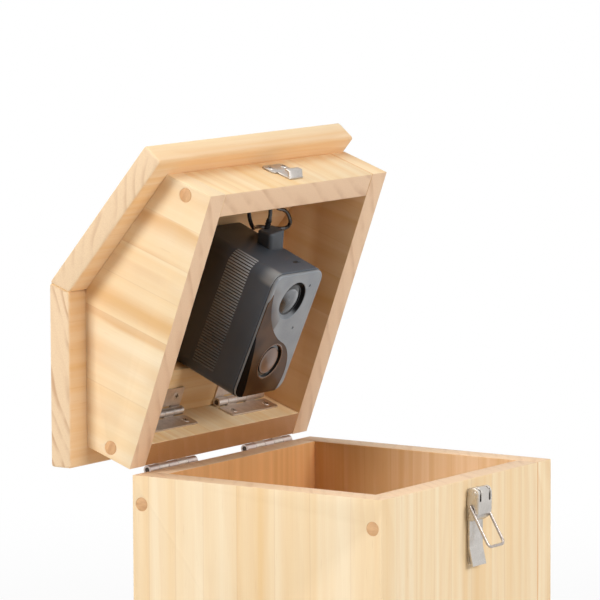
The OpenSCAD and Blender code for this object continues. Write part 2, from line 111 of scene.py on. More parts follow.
def add_view():
    data = bpy.data.cameras.new("view")
    data.lens = VIEW_LENS
    data.sensor_width = 36
    data.clip_start = 0.1
    data.clip_end = 100
    camera = into_scene("view", data)
    camera.matrix_world = (
        Matrix.Translation(VIEW_FROM)
        @ Matrix.Rotation(math.radians(VIEW_YAW), 4, "Z")
        @ Matrix.Rotation(math.radians(90 - VIEW_DOWN), 4, "X")
        @ Matrix.Rotation(math.radians(VIEW_ROLL), 4, "Z")
    )
    bpy.context.scene.camera = camera


add_view()


# ---- node trees
class Tree:
    """Short way to build a node tree."""

    def __init__(self, node_tree):
        self.nodes = node_tree.nodes
        self.links = node_tree.links

    def put(self, socket, value):
        """Links a node's output to a socket, or sets the socket's own value."""
        if isinstance(value, bpy.types.NodeSocket):
            self.links.new(value, socket)
        elif socket.type == "RGBA":
            socket.default_value = (*value, 1.0)
        else:
            socket.default_value = value

    def node(self, kind, inputs=None, **settings):
        made = self.nodes.new(kind)
        for key, value in settings.items():
            setattr(made, key, value)
        for key, value in (inputs or {}).items():
            self.put(made.inputs[key], value)
        return made

    def math(self, operation, *values, clamp=False):
        inputs = dict(enumerate(values))
        return self.node("ShaderNodeMath", inputs, operation=operation, use_clamp=clamp).outputs[0]

    def add(self, a, b, clamp=False):
        return self.math("ADD", a, b, clamp=clamp)

    def sub(self, a, b):
        return self.math("SUBTRACT", a, b)

    def mul(self, a, b):
        return self.math("MULTIPLY", a, b)

    def combine(self, *parts):
        return self.node("ShaderNodeCombineXYZ", dict(enumerate(parts))).outputs[0]

    def split(self, vector):
        return tuple(self.node("ShaderNodeSeparateXYZ", {"Vector": vector}).outputs)

    def length(self, vector):
        return self.node("ShaderNodeVectorMath", {0: vector}, operation="LENGTH").outputs["Value"]

    def noise(self, vector, scale, detail=2.0, roughness=0.5):
        inputs = {"Vector": vector, "Scale": scale, "Detail": detail, "Roughness": roughness}
        return self.node("ShaderNodeTexNoise", inputs).outputs["Fac"]

    def remap(self, value, low, high, to_low=0.0, to_high=1.0, smooth=False):
        inputs = {"Value": value, "From Min": low, "From Max": high, "To Min": to_low, "To Max": to_high}
        kind = "SMOOTHSTEP" if smooth else "LINEAR"
        return self.node("ShaderNodeMapRange", inputs, interpolation_type=kind).outputs["Result"]

    def mix(self, factor, a, b):
        """Mix of two colours, which are inputs 6 and 7 and output 2 of a Mix node."""
        return self.node("ShaderNodeMix", {0: factor, 6: a, 7: b}, data_type="RGBA").outputs[2]

    def steps(self, value, stops):
        """Grey tones, each held from its place up to the next one's."""
        made = self.node("ShaderNodeValToRGB", {"Fac": value})
        made.color_ramp.interpolation = "CONSTANT"
        elements = made.color_ramp.elements
        while len(elements) < len(stops):
            elements.new(0.5)
        for element, (position, tone) in zip(elements, stops):
            element.position = position
            element.color = (tone, tone, tone, 1.0)
        return made.outputs["Color"]


class Surface(Tree):
    """Node tree of a new material, with its Principled shader."""

    def __init__(self, name):
        self.material = bpy.data.materials.new(name)
        self.material.use_nodes = True
        super().__init__(self.material.node_tree)
        self.shader = self.nodes["Principled BSDF"]

    def into(self, socket, value):
        self.put(self.shader.inputs[socket], value)

    def rough(self, value, low, high):
        """Roughness between two amounts, as a noise value goes from low to high."""
        self.into("Roughness", self.remap(value, 0.3, 0.7, low, high))

    def bands(self, distance, spacing, rise, peak):
        """Bands repeated along a distance: a slow rise to the peak and a quick fall."""
        turn = self.math("FRACT", self.math("DIVIDE", distance, spacing))
        up = self.remap(turn, rise, peak, smooth=True)
        return self.mul(up, self.remap(turn, peak, 1.0, 1.0, 0.0, smooth=True))

    def relief(self, height, distance, strength):
        """Fine surface relief; its depth is in metres."""
        inputs = {"Height": height, "Distance": distance, "Strength": strength}
        self.into("Normal", self.node("ShaderNodeBump", inputs).outputs["Normal"])

    def place(self, to_frame):
        """Place on the object in a local frame, in millimetres."""
        back = to_frame.inverted()
        inputs = {
            "Vector": self.node("ShaderNodeTexCoord").outputs["Object"],
            "Location": back.translation,
            "Rotation": back.to_3x3().normalized().to_euler(),
            "Scale": back.to_scale(),
        }
        return self.node("ShaderNodeMapping", inputs).outputs[0]

    def way_out(self, to_frame):
        """Direction that the surface faces, in a local frame."""
        inputs = {
            "Vector": self.node("ShaderNodeTexCoord").outputs["Normal"],
            "Rotation": to_frame.inverted().to_3x3().normalized().to_euler(),
        }
        return self.node("ShaderNodeMapping", inputs, vector_type="VECTOR").outputs[0]


def srgb(red, green, blue):
    """Colour written as 0 to 255 screen values, as a linear tuple."""

    def linear(value):
        value /= 255
        return value / 12.92 if value <= 0.04045 else ((value + 0.055) / 1.055) ** 2.4

    return linear(red), linear(green), linear(blue)


# ---- pine
# Axes of a board in its local frame: along the grain, across the board, through it
GRAIN_Z_ACROSS_X = Matrix(((0, 1, 0), (0, 0, 1), (1, 0, 0))).to_4x4()
GRAIN_Z_ACROSS_Y = Matrix(((0, 0, -1), (0, -1, 0), (-1, 0, 0))).to_4x4()
GRAIN_Y_ACROSS_X = Matrix(((0, 1, 0), (1, 0, 0), (0, 0, -1))).to_4x4()

PALE_WOOD = srgb(252, 231, 196)
DEEP_WOOD = srgb(242, 204, 148)
LATE_WOOD = srgb(222, 170, 108)
FIBRE = srgb(206, 154, 98)
JOINT = srgb(206, 160, 108)
END_GRAIN = srgb(240, 208, 172)
END_RING = srgb(186, 134, 94)
# Painted shade: darker, more orange wood for the shaded sides of some boards
SHADE_WOOD = srgb(230, 158, 84)


def pine(
    name, to_board, width, staves, ring, rings, seed, pith=(60.0, 60.0), inner=(1, 8.0, 0.0),
    end=(END_GRAIN, 0.22, 9.0, (0.9, 0.6)), soft=1.0, under=0.0,
):
    """Pine glued up from staves, each given as its place across the board and its tone.
    ring is the width of a growth ring and rings how strongly they show. seed and pith, the
    pith's spread across and through the board, place them. inner gives the side, half
    thickness and share of painted shade on the board's inner side: darker, more orange wood
    standing in for the shade in the box and the lid. end gives the cut ends' colour, the
    strength and spacing of their rings, and which way these slant. soft spreads the
    streaks. under is the share of the same painted shade on the roof boards' underside."""
    t = Surface(name)
    point = t.place(to_board)
    along, across, through = t.split(point)
    out_along, _, out_through = t.split(t.way_out(to_board))

    def drawn(share):
        """Place with the way along the grain squeezed, which draws a pattern out along it."""
        return t.combine(t.mul(along, share), across, through)

    def stave_at(shift):
        return t.steps(t.add(t.math("DIVIDE", t.add(across, shift), width), 0.5), staves)

    stave = stave_at(0.0)
    step = t.math("ABSOLUTE", t.sub(stave_at(0.35), stave_at(-0.35)))
    joint = t.remap(step, 0.005, 0.02)
    chance = t.node("ShaderNodeTexWhiteNoise", {"Vector": stave, "W": seed}, noise_dimensions="4D")
    pick_a, pick_b = t.split(chance.outputs["Color"])[:2]

    # Growth rings: circles about a pith that lies off the stave and wanders along it
    sway = t.noise(drawn(0.3), 0.011, 1.0)
    sway_side = t.noise(t.combine(along, t.mul(across, 0.5), t.mul(pick_b, 40.0)), 0.009, 1.0)
    pith_across = t.mul(t.sub(pick_a, 0.5), pith[0])
    offset = t.add(t.sub(across, pith_across), t.mul(sway_side, 26.0))
    depth = t.add(through, t.add(t.mul(pick_b, pith[1]), 14.0))
    radius = t.add(t.length(t.combine(offset, depth, 0.0)), t.mul(sway, 18.0))

    band = t.bands(radius, ring, 0.15, 0.85)
    fade = t.noise(drawn(0.35), 0.03, 2.0)
    band = t.mul(band, t.remap(fade, 0.35, 0.7, 0.15, 1.0))

    # Fibres, soft streaks and a few short resin marks, all drawn out along the grain
    fibre = t.noise(drawn(0.02), 1.6, 3.0, 0.6)
    streak = t.noise(drawn(0.01), 0.22 / soft, 2.0, 0.5)
    fleck = t.noise(drawn(0.06), 1.0, 1.0, 0.4)
    fleck = t.remap(fleck, 0.7, 0.78, smooth=True)

    # Cut ends: more open, pinkish, with the rings drawn darker
    cut_end = t.remap(t.math("ABSOLUTE", out_along), 0.6, 0.9, smooth=True)
    pore = t.noise(point, 1.4, 2.0, 0.7)
    slant = t.add(t.mul(across, end[3][0]), t.mul(through, end[3][1]))
    slant = t.add(slant, t.mul(t.noise(drawn(0.0), 0.02, 1.0), 24.0))
    end_band = t.bands(slant, end[2], 0.45, 0.86)
    end_fade = t.noise(drawn(0.0), 0.045, 2.0)
    end_band = t.mul(end_band, t.remap(end_fade, 0.4, 0.62, 0.1, 1.0))

    tone = t.add(stave, t.mul(t.sub(streak, 0.5), 1.5), clamp=True)
    base = t.mix(tone, PALE_WOOD, DEEP_WOOD)
    base = t.mix(t.mul(band, rings), base, LATE_WOOD)
    base = t.mix(t.remap(fibre, 0.3, 0.75, 0.0, 0.08), base, FIBRE)
    base = t.mix(t.mul(fleck, 0.18), base, FIBRE)
    base = t.mix(t.mul(joint, 0.16), base, JOINT)
    # Painted shade: the board's inner side turns to darker, more orange wood
    if inner[2]:
        inside = t.remap(t.mul(through, inner[0]), inner[1] - 1.2, inner[1] - 0.5, 0.0, inner[2])
        base = t.mix(inside, base, t.mix(tone, SHADE_WOOD, tuple(c * 0.8 for c in SHADE_WOOD)))
    # Painted shade: the roof boards' underside turns to the same darker wood
    if under:
        base = t.mix(t.remap(out_through, 0.2, 0.5, 0.0, under), base, SHADE_WOOD)
    ends = t.mix(t.mul(end_band, end[1]), end[0], END_RING)
    ends = t.mix(t.remap(pore, 0.35, 0.7, 0.0, 0.25), ends, srgb(204, 162, 124))
    t.into("Base Color", t.mix(cut_end, base, ends))

    t.rough(fibre, 0.5, 0.62)
    t.into("Specular IOR Level", 0.3)
    relief = t.add(t.mul(fibre, 0.6), t.mul(band, -0.4))
    relief = t.add(relief, t.mul(t.mul(pore, cut_end), 0.8))
    t.relief(relief, 0.0001, 0.4)
    return t.material


def plug_wood(name, to_frame):
    """Side-grain plug: darker than the board, with its own fine grain."""
    t = Surface(name)
    point = t.place(to_frame)
    x, y, z = t.split(point)
    grain = t.noise(t.combine(t.mul(x, 0.35), y, z), 1.3, 3.0, 0.6)
    ring = t.noise(t.combine(t.mul(x, 0.2), y, z), 0.45, 1.0)
    base = t.mix(t.remap(ring, 0.35, 0.65), srgb(228, 182, 132), srgb(210, 160, 112))
    base = t.mix(t.remap(grain, 0.35, 0.7, 0.0, 0.3), base, srgb(186, 134, 90))
    t.into("Base Color", base)
    t.rough(grain, 0.5, 0.65)
    t.relief(grain, 0.0001, 0.6)
    return t.material


# ---- metal and plastic
def plated_steel(name, to_frame, colour, rough, brushed, tarnish=0.25):
    """Plated sheet: brushed along the axis whose factor is small, with faint dull patches."""
    t = Surface(name)
    point = t.place(to_frame)
    x, y, z = t.split(point)
    brushed_point = t.combine(*(t.mul(a, f) for a, f in zip((x, y, z), brushed)))
    brush = t.noise(brushed_point, 4.5, 3.0, 0.6)
    patch = t.noise(point, 0.25, 3.0, 0.6)
    dull = tuple(c * (1 - tarnish) for c in colour)
    t.into("Base Color", t.mix(t.remap(patch, 0.35, 0.65), colour, dull))
    t.into("Metallic", 1.0)
    worn = t.remap(patch, 0.4, 0.7, 0.0, 0.1)
    t.into("Roughness", t.add(t.remap(brush, 0.3, 0.7, rough - 0.07, rough + 0.07), worn))
    t.relief(brush, 0.00004, 0.5)
    return t.material


def moulded(name, to_frame, colour, rough, grain=3.5, depth=0.00004, tint=None):
    """Spark-eroded plastic: a fine pebbled skin with slight tone changes."""
    t = Surface(name)
    point = t.place(to_frame)
    pebble = t.noise(point, grain, 3.0, 0.6)
    broad = t.noise(point, 0.06, 2.0)
    other = tint or tuple(c * 1.25 for c in colour)
    t.into("Base Color", t.mix(t.remap(broad, 0.3, 0.7), colour, other))
    t.rough(pebble, rough - 0.05, rough + 0.08)
    t.relief(pebble, depth, 0.6)
    return t.material


def glossy(name, to_frame, colour, other, rough, coat):
    """Polished dark plastic with a soft cloud of its second colour."""
    t = Surface(name)
    point = t.place(to_frame)
    cloud = t.noise(point, 0.045, 1.0)
    t.into("Base Color", t.mix(t.remap(cloud, 0.35, 0.65, smooth=True), colour, other))
    t.rough(t.noise(point, 0.5, 3.0), rough, rough + 0.06)
    t.into("Coat Weight", coat)
    t.into("Coat Roughness", 0.05)
    return t.material


# ---- shapes
SHARP = 35.0  # degrees between two faces from which their edge is sharp


def smooth_below(mesh, degrees):
    mesh.shade_smooth()
    mesh.set_sharp_from_angle(angle=math.radians(degrees))


def add_object(bm, name, to_frame):
    """Puts a shape drawn in millimetres in a local frame into the scene."""
    bmesh.ops.transform(bm, matrix=to_frame, verts=bm.verts)
    bmesh.ops.recalc_face_normals(bm, faces=bm.faces)
    mesh = bpy.data.meshes.new(name)
    bm.to_mesh(mesh)
    bm.free()
    return into_scene(name, mesh)


def finish_piece(bm, name, to_frame, body, materials, replaced=(), smooth=SHARP):
    """Puts a shape into the scene, with its materials, and on its body."""
    piece = add_object(bm, name, to_frame)
    smooth_below(piece.data, smooth)
    for material in materials if isinstance(materials, list) else [materials]:
        piece.data.materials.append(material)
    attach(piece, body)
    if replaced:
        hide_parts(*replaced)
    return piece


def solid_of(node, to_frame):
    """The CAD node's solid as a bmesh in millimetres, with its flat faces whole."""
    bm = bmesh.new()
    bm.from_mesh(NODES[node].data)
    bmesh.ops.transform(bm, matrix=to_frame.inverted(), verts=bm.verts)
    bmesh.ops.remove_doubles(bm, verts=bm.verts, dist=0.002)
    bmesh.ops.dissolve_limit(bm, angle_limit=math.radians(0.5), verts=bm.verts, edges=bm.edges)
    return bm


def eased(node, to_frame, body, material, width, segments=2):
    """A better version of a CAD node's own shape, with its sharp edges rounded."""
    bm = solid_of(node, to_frame)
    limit = math.radians(SHARP)
    edges = [edge for edge in bm.edges if len(edge.link_faces) == 2 and edge.calc_face_angle(0) > limit]
    bmesh.ops.bevel(
        bm, geom=edges, offset=width, offset_type="OFFSET", segments=segments, profile=0.5,
        affect="EDGES", clamp_overlap=True, loop_slide=True,
    )
    finish_piece(bm, node + "_eased", to_frame, body, material, [node])


def ring_of(bm, points):
    return [bm.verts.new(p) for p in points]


def skin(bm, rings, materials=None):
    """Faces between rings of equally many points, and one over each end. materials gives
    the material's place in the piece's list for each side; the ends have the last one's."""
    materials = materials or [0] * len(rings[0])
    for low, high in zip(rings, rings[1:]):
        for k, material in enumerate(materials):
            nxt = (k + 1) % len(low)
            bm.faces.new((low[k], low[nxt], high[nxt], high[k])).material_index = material
    for end in (list(reversed(rings[0])), rings[-1]):
        bm.faces.new(end).material_index = materials[-1]


def rounded_outline(width, depth, radius, arc):
    """Points of a rounded rectangle about the origin."""
    points = []
    for corner, (sx, sy) in enumerate(((1, 1), (-1, 1), (-1, -1), (1, -1))):
        centre = (sx * (width / 2 - radius), sy * (depth / 2 - radius))
        for k in range(arc + 1):
            angle = math.radians(90 * corner + 90 * k / arc)
            points.append((centre[0] + radius * math.cos(angle), centre[1] + radius * math.sin(angle)))
    return points


def lofted_block(width, depth, radius, levels, arc, turn=Matrix.Identity(4)):
    """Rounded block: levels are (height, inset). turn puts the block in its place."""
    bm = bmesh.new()
    rings = []
    for height, inset in levels:
        outline = rounded_outline(width - 2 * inset, depth - 2 * inset, max(radius - inset, 0.2), arc)
        rings.append(ring_of(bm, [turn @ Vector((x, y, height)) for x, y in outline]))
    skin(bm, rings)
    return bm


def quarter(start, end, inset_start, inset_end, steps):
    """Levels of a quarter-round between two heights."""
    made = []
    for k in range(steps + 1):
        angle = math.radians(90 * k / steps)
        shares = (1 - math.cos(angle), math.sin(angle))
        up, aside = shares if inset_start > inset_end else reversed(shares)
        made.append((start + (end - start) * up, inset_start + (inset_end - inset_start) * aside))
    return made


def lathe(bm, profile, turn, sides, materials=None):
    """Turns a profile of (radius, height) about an axis. A radius of 0 closes an end.
    materials gives the material's place in the piece's list for each step of the profile."""
    rings = []
    for radius, height in profile:
        if radius == 0:
            rings.append([bm.verts.new(turn @ Vector((0, 0, height)))])
            continue
        circle = [2 * math.pi * k / sides for k in range(sides)]
        rings.append(
            ring_of(bm, [turn @ Vector((radius * math.cos(a), radius * math.sin(a), height)) for a in circle])
        )
    for index, (low, high) in enumerate(zip(rings, rings[1:])):
        for k in range(sides):
            nxt = (k + 1) % sides
            corners = [low[k % len(low)], low[nxt % len(low)], high[nxt % len(high)], high[k % len(high)]]
            face = bm.faces.new(list(dict.fromkeys(corners)))
            if materials:
                face.material_index = materials[index]


def tube_along(points, radius, sides):
    """A round tube along a line of points, with the same frame carried from ring to ring."""
    bm = bmesh.new()
    side = None
    rings = []
    for index, point in enumerate(points):
        ahead = points[min(index + 1, len(points) - 1)] - points[max(index - 1, 0)]
        ahead.normalize()
        if side is None:
            side = ahead.orthogonal().normalized()
        side = (side - ahead * side.dot(ahead)).normalized()
        other = ahead.cross(side)
        circle = [2 * math.pi * k / sides for k in range(sides)]
        ways = [math.cos(a) * side + math.sin(a) * other for a in circle]
        rings.append(ring_of(bm, [point + radius * way for way in ways]))
    skin(bm, rings)
    return bm


def cut(piece, shapes):
    """Cuts shapes drawn in the camera unit's frame out of a piece, for good."""
    cutters = [add_object(bm, "cutter", CAMERA) for bm in shapes]
    for cutter in cutters:
        modifier = piece.modifiers.new("cut", "BOOLEAN")
        modifier.operation = "DIFFERENCE"
        modifier.solver = "EXACT"
        modifier.object = cutter
    dg = bpy.context.evaluated_depsgraph_get()
    mesh = bpy.data.meshes.new_from_object(piece.evaluated_get(dg))
    piece.modifiers.clear()
    spent = [piece.data, *(cutter.data for cutter in cutters)]
    piece.data = mesh
    for cutter in cutters:
        bpy.data.objects.remove(cutter)
    for old in spent:
        bpy.data.meshes.remove(old)
    smooth_below(mesh, SHARP)


# ---- the lead
LEAD_R = 1.25
LEAD_ROUTE = [
    (56.6, 12.1, 21.8), (60, 11.9, 22.3), (63.8, 10.8, 23), (67.6, 8.2, 23.6), (71, 4.3, 24),
    (72.4, -1.4, 24.3), (70.9, -6.6, 24.5), (66.6, -9.2, 24.8), (60.6, -7.7, 25.1),
    (54.9, -2.9, 25.6), (50.5, 2.7, 26.7), (47.5, 9, 29.2), (45.9, 15.4, 32.2),
    (44.9, 22.2, 34.3), (44.2, 29, 34.3), (44, 35, 32.2), (44, 40.5, 29.6), (45.5, 44.5, 27.4),
    (49, 44.8, 26.4), (52.6, 41.8, 26), (56.5, 37, 25.7), (59.2, 31.5, 25.5), (60.7, 25, 25.5),
    (63.2, 21.6, 25.5), (67, 21, 25.5), (70.3, 22.9, 25.5), (71.6, 26.5, 25.5),
    (71.4, 33, 25.8), (70.6, 42, 27.5), (68.6, 52, 30.5), (66, 62, 33), (64.4, 70, 34.3),
    (64, 76, 34.5), (64, 79, 34.5),
]
LEAD_STEPS = 6


def smooth_route(points, steps):
    """Catmull-Rom curve through the points."""
    points = [Vector(p) for p in points]
    last = len(points) - 1
    made = []
    for i in range(last):
        a, b, c, d = (points[max(0, min(last, i + k))] for k in (-1, 0, 1, 2))
        for k in range(steps):
            t = k / steps
            bend, twist = 2 * a - 5 * b + 4 * c - d, 3 * b - a - 3 * c + d
            made.append(0.5 * (2 * b + (c - a) * t + bend * t**2 + twist * t**3))
    return [*made, points[last]]


def add_lead(material):
    line = [LID @ p for p in smooth_route(LEAD_ROUTE, LEAD_STEPS)]
    data = bpy.data.curves.new("lead", "CURVE")
    data.dimensions = "3D"
    data.bevel_depth = LEAD_R * MM
    data.bevel_resolution = 5
    spline = data.splines.new("POLY")
    spline.points.add(len(line) - 1)
    for point, place in zip(spline.points, line):
        point.co = (*place, 1.0)
    spline.use_smooth = True
    data.materials.append(material)
    lead = into_scene("lead", data)
    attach(lead, "lid")
    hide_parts("camera_lead")
    return lead, line


lead_skin = glossy("lead_sheath", LID, srgb(28, 20, 16), srgb(40, 29, 22), 0.22, 0.3)
lead, lead_line = add_lead(lead_skin)

# ---- boards
BODY_EASE = 0.6
LID_EASE = 0.7
ROOF_EASE = 1.8

# Staves: where each one starts, as a share of the board's width, and its tone, 1 the deepest
FRONT_STAVES = [
    (0.0, 0.4), (0.064, 0.22), (0.172, 0.1), (0.289, 0.28), (0.422, 0.6), (0.575, 0.42),
    (0.717, 0.26), (0.878, 0.34),
]
RIGHT_STAVES = [
    (0.0, 0.3), (0.12, 0.5), (0.24, 0.24), (0.33, 0.54), (0.48, 0.34), (0.62, 0.22),
    (0.74, 0.38), (0.86, 0.2),
]
# Back wall: staves deepen towards the hinge side, painted shade of the lid's shadow over the staves' own
# tones
BACK_STAVES_SHADED = [
    (0.0, 0.9), (0.13, 0.98), (0.2, 0.86), (0.29, 0.96), (0.4, 0.6), (0.49, 0.34), (0.56, 0.5),
    (0.65, 0.3), (0.76, 0.5), (0.88, 0.24),
]
LEFT_STAVES = [
    (0.0, 0.2), (0.16, 0.46), (0.3, 0.3), (0.44, 0.5), (0.6, 0.34), (0.73, 0.48), (0.88, 0.54),
]
FLOOR_STAVES = [(0.0, 0.3), (0.16, 0.5), (0.35, 0.36), (0.52, 0.6), (0.7, 0.3), (0.86, 0.46)]
GABLE_STAVES = [(0.0, 0.3), (0.22, 0.18), (0.46, 0.62), (0.6, 0.34), (0.72, 0.5), (0.86, 0.3)]
EAVE_STAVES = [(0.0, 0.5), (0.3, 0.4), (0.46, 0.72), (0.7, 0.55), (0.88, 0.5)]
EAVE_LOW_STAVES = [(0.0, 0.6), (0.3, 0.45), (0.6, 0.66)]
ROOF_STAVES = [(0.0, 0.3), (0.45, 0.5), (0.8, 0.36)]
SHELF_STAVES = [(0.0, 0.7), (0.5, 0.8)]
RIM_END = (srgb(242, 208, 174), 0.36, 19.0, (0.8, 1.3))
# Dark, orange cut ends for the lid's low wall: painted shade on its rim
LOW_END_SHADE = (srgb(170, 118, 68), 0.4, 13.0, (0.9, 0.5))
VERGE_LEFT = (srgb(244, 214, 176), 0.62, 8.0, (0.75, 0.9))
VERGE_RIGHT = (srgb(244, 214, 176), 0.3, 9.0, (0.25, 1.1))
# Shares of painted shade on the walls' inner sides
INNER_END_SHADE = (-1, END_T / 2, 0.4)
INNER_SIDE_SHADE = (-1, SIDE_T / 2, 0.8)


def dress_board(node, name, local, middle, grain, width, staves, ease=None, **looks):
    """One board in its pine, whose grain is drawn about the board's middle."""
    material = pine(name, local @ Matrix.Translation(middle) @ grain, width, staves, **looks)
    body, slot = ("box", "pine_boards") if local is BOX else ("lid", "pine_lid")
    usual = BODY_EASE if local is BOX else LID_EASE
    eased(node, local, body, material, ease or usual, 3 if ease else 2)


END_Y = HALF_D - END_T / 2
SIDE_X = HALF_W - SIDE_T / 2
MID_Z = BOX_H / 2
FLOOR_Z = box_mm("floor_board")[1].z / 2
GABLE_Z = 30
EAVE_Z = 20
ROOF_X, ROOF_Z, ROOF_W = 50, 55, 110
SHELF_X, SHELF_MID_Z, SHELF_W = -59, 34, 40
END_BOARD = (GRAIN_Z_ACROSS_X, 2 * HALF_W)
SIDE_BOARD = (GRAIN_Z_ACROSS_Y, 2 * INNER_Y)
dress_board(
    "front_wall", "pine_front", BOX, (0, -END_Y, MID_Z), *END_BOARD, FRONT_STAVES,
    ring=8.0, rings=0.16, seed=1.0, soft=2.6,
)
dress_board(
    "back_wall", "pine_back", BOX, (0, END_Y, MID_Z), *END_BOARD, BACK_STAVES_SHADED,
    ring=5.5, rings=0.4, seed=2.0, inner=INNER_END_SHADE,
)
dress_board(
    "left_wall", "pine_left", BOX, (-SIDE_X, 0, MID_Z), *SIDE_BOARD, LEFT_STAVES,
    ring=5.0, rings=0.4, seed=3.0, inner=INNER_SIDE_SHADE,
)
dress_board(
    "right_wall", "pine_right", BOX, (SIDE_X, 0, MID_Z), *SIDE_BOARD, RIGHT_STAVES,
    ring=6.0, rings=0.16, seed=4.0, soft=1.4,
)
dress_board(
    "floor_board", "pine_floor", BOX, (0, 0, FLOOR_Z), GRAIN_Y_ACROSS_X, 2 * INNER_X, FLOOR_STAVES,
    ring=5.0, rings=0.4, seed=5.0,
)
dress_board(
    "lid_front_gable", "pine_lid_front", LID, (0, -END_Y, GABLE_Z), *END_BOARD, GABLE_STAVES,
    ring=24.0, rings=0.75, seed=6.0, pith=(120.0, 30.0), end=RIM_END, soft=2.2,
)
dress_board(
    "lid_back_gable", "pine_lid_back", LID, (0, END_Y, GABLE_Z), *END_BOARD, GABLE_STAVES,
    ring=15.0, rings=0.5, seed=7.0, pith=(120.0, 30.0), soft=2.0, inner=INNER_END_SHADE, end=RIM_END,
)
dress_board(
    "lid_left_wall", "pine_lid_left", LID, (-SIDE_X, 0, EAVE_Z), *SIDE_BOARD, EAVE_LOW_STAVES,
    ring=9.0, rings=0.3, seed=8.0, end=LOW_END_SHADE,
)
dress_board(
    "lid_right_wall", "pine_lid_right", LID, (SIDE_X, 0, EAVE_Z), *SIDE_BOARD, EAVE_STAVES,
    ring=12.0, rings=0.3, seed=9.0, end=RIM_END, soft=1.8,
)
for side, roof_x, seed, verge in (("left", -ROOF_X, 10.0, VERGE_LEFT), ("right", ROOF_X, 11.0, VERGE_RIGHT)):
    dress_board(
        side + "_roof_board", "pine_roof_" + side, LID, (roof_x, 0, ROOF_Z), GRAIN_Y_ACROSS_X, ROOF_W,
        ROOF_STAVES, ROOF_EASE, ring=6.0, rings=0.25, seed=seed, pith=(60.0, 40.0), end=verge, under=0.35,
    )
dress_board(
    "camera_shelf", "pine_shelf", LID, (SHELF_X, 0, SHELF_MID_Z), GRAIN_Y_ACROSS_X, SHELF_W, SHELF_STAVES,
    ring=8.0, rings=0.4, seed=12.0,
)

PLUG_EASE = 0.35
for node, local, body in (
    ("front_wall_plugs", BOX, "box"), ("back_wall_plugs", BOX, "box"),
    ("lid_front_plugs", LID, "lid"), ("lid_back_plugs", LID, "lid"),
):
    eased(node, local, body, plug_wood("plug_" + body, local), PLUG_EASE)

# ---- hinges, brackets, screws
LEAF_T = 1.2
SCREW_R = 2.7
SCREW_RISE = 0.35


def screw_head(bm, turn, spin, radius=SCREW_R, rise=SCREW_RISE):
    """Countersunk head with a cross recess, drawn as a flat dark cross just over the head: painted shade of
    the recess. The head's own axis is +Z, out of the work.
    """
    lathe(bm, [(radius, 0.0), (radius - 0.25, rise * 0.7), (radius * 0.55, rise), (0, rise + 0.04)], turn, 28)
    for k in range(2):
        arm = turn @ Matrix.Rotation(math.radians(spin + 90 * k), 4, "Z")
        length, width = radius * 0.62, radius * 0.13
        corners = [(-length, -width), (length, -width), (length, width), (-length, width)]
        made = ring_of(bm, [arm @ Vector((x, y, rise + 0.06)) for x, y in corners])
        bm.faces.new(made).material_index = 1


hinge_steel = plated_steel("hinge_steel", BOX, srgb(206, 190, 182), 0.34, (1.0, 0.05, 1.0), 0.12)
hinge_steel_lid = plated_steel("hinge_steel_lid", LID, srgb(212, 200, 190), 0.36, (1.0, 0.05, 1.0), 0.14)
pin_steel = plated_steel("pin_steel", BOX, srgb(86, 76, 70), 0.4, (1.0, 0.2, 1.0))
# Colour of the flat crosses on the screw heads: painted shade of their recesses
recess_shade = moulded("screw_recess_shade", BOX, srgb(38, 34, 32), 0.5)

LEAF_EASE = 0.18
HINGE_PARTS = (
    ("hinge_box_leaf", BOX, "box", hinge_steel), ("hinge_pin", BOX, "box", pin_steel),
    ("hinge_lid_leaf", LID, "lid", hinge_steel_lid),
)
BRACKET_PARTS = (
    ("bracket_wall_leaf", hinge_steel_lid), ("bracket_shelf_leaf", hinge_steel_lid),
    ("bracket_pin", pin_steel),
)
for part, local, body, material in HINGE_PARTS:
    for end in ("front_", "rear_"):
        eased(end + part, local, body, material, LEAF_EASE, 1)
for end in ("front_", "rear_"):
    for part, material in BRACKET_PARTS:
        eased(end + part, LID, "lid", material, LEAF_EASE, 1)


def middle_y(node):
    low, high = box_mm(node)
    return (low.y + high.y) / 2


HINGE_Y = middle_y("rear_hinge_box_leaf")
BRACKET_Y = [middle_y("front_bracket_pin"), middle_y("rear_bracket_pin")]
PIN_OFF = -HINGE.x - HALF_W
SCREW_REACH = 9.6
SCREW_SPREAD = 18.0
SHELF_Z = 29.0


def facing(point, direction):
    """Frame with +Z along a direction, at a point."""
    turn = Vector(direction).to_track_quat("Z", "Y").to_matrix().to_4x4()
    return Matrix.Translation(point) @ turn


